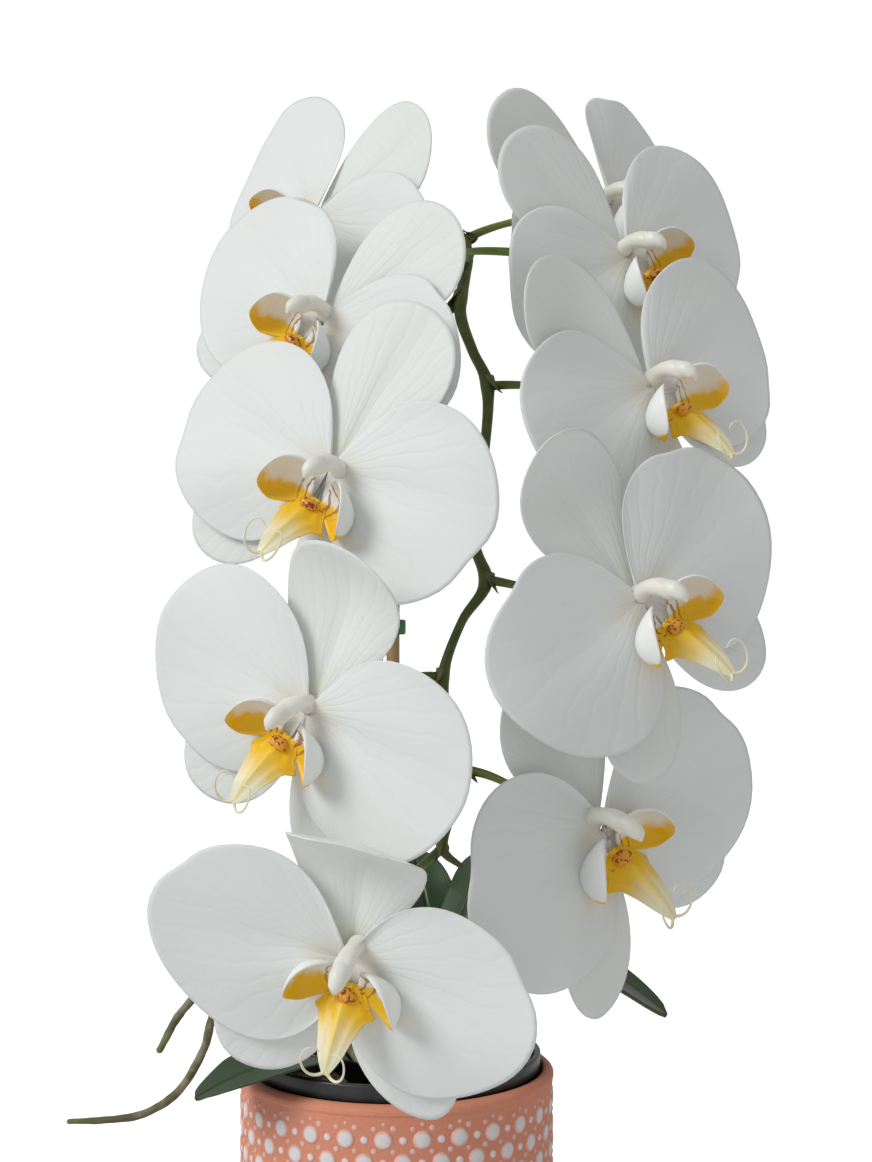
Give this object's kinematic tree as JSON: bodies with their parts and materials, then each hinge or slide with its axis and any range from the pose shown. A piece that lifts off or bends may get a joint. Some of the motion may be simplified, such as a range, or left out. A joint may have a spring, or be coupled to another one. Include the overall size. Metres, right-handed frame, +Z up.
{
  "type": "potted moth orchid",
  "caption": "White moth orchid with a two-sided cascade of blossoms on an arching stalk, staked in a dotted terracotta cover pot.",
  "frame": {"origin": "centre of the cover pot's underside, which the plant stands on", "axes": "+Z up along the pot's axis, -Y the front that the blossoms face, +X to a viewer's right"},
  "size_m": [0.2513, 0.2716, 0.4795],
  "materials": {
    "petal_white": "soft satin, fine veins",
    "lip_yellow": "satin, cream shading to yellow",
    "column_cream": "satin",
    "stalk_green": "satin green stalk",
    "crown_olive": "matt",
    "leaf_green": "waxy",
    "root_olive": "matt velvety",
    "terracotta": "matt, raised pale dots",
    "nursery_plastic": "satin",
    "bark_brown": "rough",
    "bamboo": "satin",
    "clip_green": "satin"
  },
  "bodies": {
    "root": {"flower_left_1_petals": "petal_white", "flower_left_1_sepals": "petal_white", "flower_left_1_lip": "lip_yellow", "flower_left_1_column": "column_cream", "flower_left_2_petals": "petal_white", "flower_left_2_sepals": "petal_white", "flower_left_2_lip": "lip_yellow", "flower_left_2_column": "column_cream", "flower_left_3_petals": "petal_white", "flower_left_3_sepals": "petal_white", "flower_left_3_lip": "lip_yellow", "flower_left_3_column": "column_cream", "flower_left_4_petals": "petal_white", "flower_left_4_sepals": "petal_white", "flower_left_4_lip": "lip_yellow", "flower_left_4_column": "column_cream", "flower_left_5_petals": "petal_white", "flower_left_5_sepals": "petal_white", "flower_left_5_lip": "lip_yellow", "flower_left_5_column": "column_cream", "flower_right_1_petals": "petal_white", "flower_right_1_sepals": "petal_white", "flower_right_1_lip": "lip_yellow", "flower_right_1_column": "column_cream", "flower_right_2_petals": "petal_white", "flower_right_2_sepals": "petal_white", "flower_right_2_lip": "lip_yellow", "flower_right_2_column": "column_cream", "flower_right_3_petals": "petal_white", "flower_right_3_sepals": "petal_white", "flower_right_3_lip": "lip_yellow", "flower_right_3_column": "column_cream", "flower_right_4_petals": "petal_white", "flower_right_4_sepals": "petal_white", "flower_right_4_lip": "lip_yellow", "flower_right_4_column": "column_cream", "flower_right_5_petals": "petal_white", "flower_right_5_sepals": "petal_white", "flower_right_5_lip": "lip_yellow", "flower_right_5_column": "column_cream", "flower_spike": "stalk_green", "plant_crown": "crown_olive", "leaf_left": "leaf_green", "leaf_front": "leaf_green", "leaf_right": "leaf_green", "leaf_upright": "leaf_green", "leaf_back": "leaf_green", "aerial_root_1": "root_olive", "aerial_root_2": "root_olive", "cover_pot": "terracotta", "nursery_pot": "nursery_plastic", "bark_medium": "bark_brown", "bamboo_stake": "bamboo", "stake_clip": "clip_green"}
  },
  "joints": []
}
